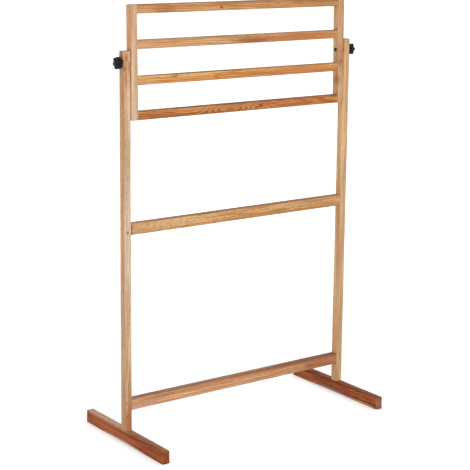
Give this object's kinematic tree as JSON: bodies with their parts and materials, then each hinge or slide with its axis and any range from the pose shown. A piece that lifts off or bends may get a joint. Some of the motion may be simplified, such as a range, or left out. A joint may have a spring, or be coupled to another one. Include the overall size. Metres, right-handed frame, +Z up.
{
  "type": "freestanding towel stand",
  "caption": "Freestanding wooden towel stand: slim posts on arched feet joined by cross rails, with a tilting barred towel frame clamped by black star knobs.",
  "frame": {"origin": "on the floor, midway between the two feet and between their front and back ends", "axes": "+X to the right across the stand, the front faces -Y, +Z up"},
  "size_m": [0.7346, 0.36, 1.0846],
  "materials": {
    "post_wood": "oiled hardwood, straight grain",
    "foot_wood": "red-brown stained hardwood, oiled",
    "rail_wood": "oiled hardwood, streaked grain",
    "frame_wood": "oiled hardwood, streaked grain",
    "dowel_wood": "fluted beech dowel, glued",
    "bolt_steel": "zinc-plated steel",
    "black_bolt": "blackened steel",
    "washer_steel": "blackened steel",
    "knob_plastic": "black glass-filled nylon, fine matt texture",
    "cap_plastic": "black nylon, satin",
    "insert_brass": "turned brass"
  },
  "bodies": {
    "stand": {"left_post": "post_wood", "left_foot": "foot_wood", "right_post": "post_wood", "right_foot": "foot_wood", "middle_rail": "rail_wood", "middle_rail_left_bolt": "bolt_steel", "middle_rail_left_nut": "bolt_steel", "middle_rail_left_dowel": "dowel_wood", "middle_rail_left_plug": "post_wood", "middle_rail_right_bolt": "bolt_steel", "middle_rail_right_nut": "bolt_steel", "middle_rail_right_dowel": "dowel_wood", "middle_rail_right_plug": "post_wood", "lower_rail": "rail_wood", "lower_rail_left_bolt": "bolt_steel", "lower_rail_left_nut": "bolt_steel", "lower_rail_left_dowel": "dowel_wood", "lower_rail_left_plug": "post_wood", "lower_rail_right_bolt": "bolt_steel", "lower_rail_right_nut": "bolt_steel", "lower_rail_right_dowel": "dowel_wood", "lower_rail_right_plug": "post_wood", "left_foot_bolt": "bolt_steel", "left_foot_nut": "bolt_steel", "left_foot_dowel": "dowel_wood", "right_foot_bolt": "bolt_steel", "right_foot_nut": "bolt_steel", "right_foot_dowel": "dowel_wood"},
    "towel_frame": {"left_stile": "frame_wood", "right_stile": "frame_wood", "top_bar": "frame_wood", "top_bar_dowels": "dowel_wood", "second_bar": "frame_wood", "second_bar_dowels": "dowel_wood", "third_bar": "frame_wood", "third_bar_dowels": "dowel_wood", "bottom_bar": "frame_wood", "bottom_bar_dowels": "dowel_wood", "left_pivot_bolt": "black_bolt", "left_spacer_washer": "washer_steel", "right_pivot_bolt": "black_bolt", "right_spacer_washer": "washer_steel"},
    "left_clamp": {"left_clamp_washer": "washer_steel"},
    "left_knob_assembly": {"left_knob": "knob_plastic", "left_knob_insert": "insert_brass", "left_knob_cap": "cap_plastic"},
    "right_clamp": {"right_clamp_washer": "washer_steel"},
    "right_knob_assembly": {"right_knob": "knob_plastic", "right_knob_insert": "insert_brass", "right_knob_cap": "cap_plastic"}
  },
  "joints": [
    {"name": "frame_tilt", "type": "hinge", "parent": "stand", "child": "towel_frame", "pos_m": [0, 0, 0.948], "axis": [1, 0, 0], "continuous": true},
    {"name": "left_clamp_travel", "type": "slide", "parent": "towel_frame", "child": "left_clamp", "axis": [-1, 0, 0], "range_m": [0, 0.002]},
    {"name": "left_knob_turn", "type": "hinge", "parent": "left_clamp", "child": "left_knob_assembly", "pos_m": [-0.3516, 0, 0.948], "axis": [-1, 0, 0], "range_deg": [0, 720]},
    {"name": "right_clamp_travel", "type": "slide", "parent": "towel_frame", "child": "right_clamp", "axis": [1, 0, 0], "range_m": [0, 0.002]},
    {"name": "right_knob_turn", "type": "hinge", "parent": "right_clamp", "child": "right_knob_assembly", "pos_m": [0.3516, 0, 0.948], "axis": [1, 0, 0], "range_deg": [0, 720]}
  ],
  "couplings": [
    {"joint": "left_clamp_travel", "follows": "left_knob_turn", "m_per_rad": 0.00015915},
    {"joint": "right_clamp_travel", "follows": "right_knob_turn", "m_per_rad": 0.00015915}
  ]
}
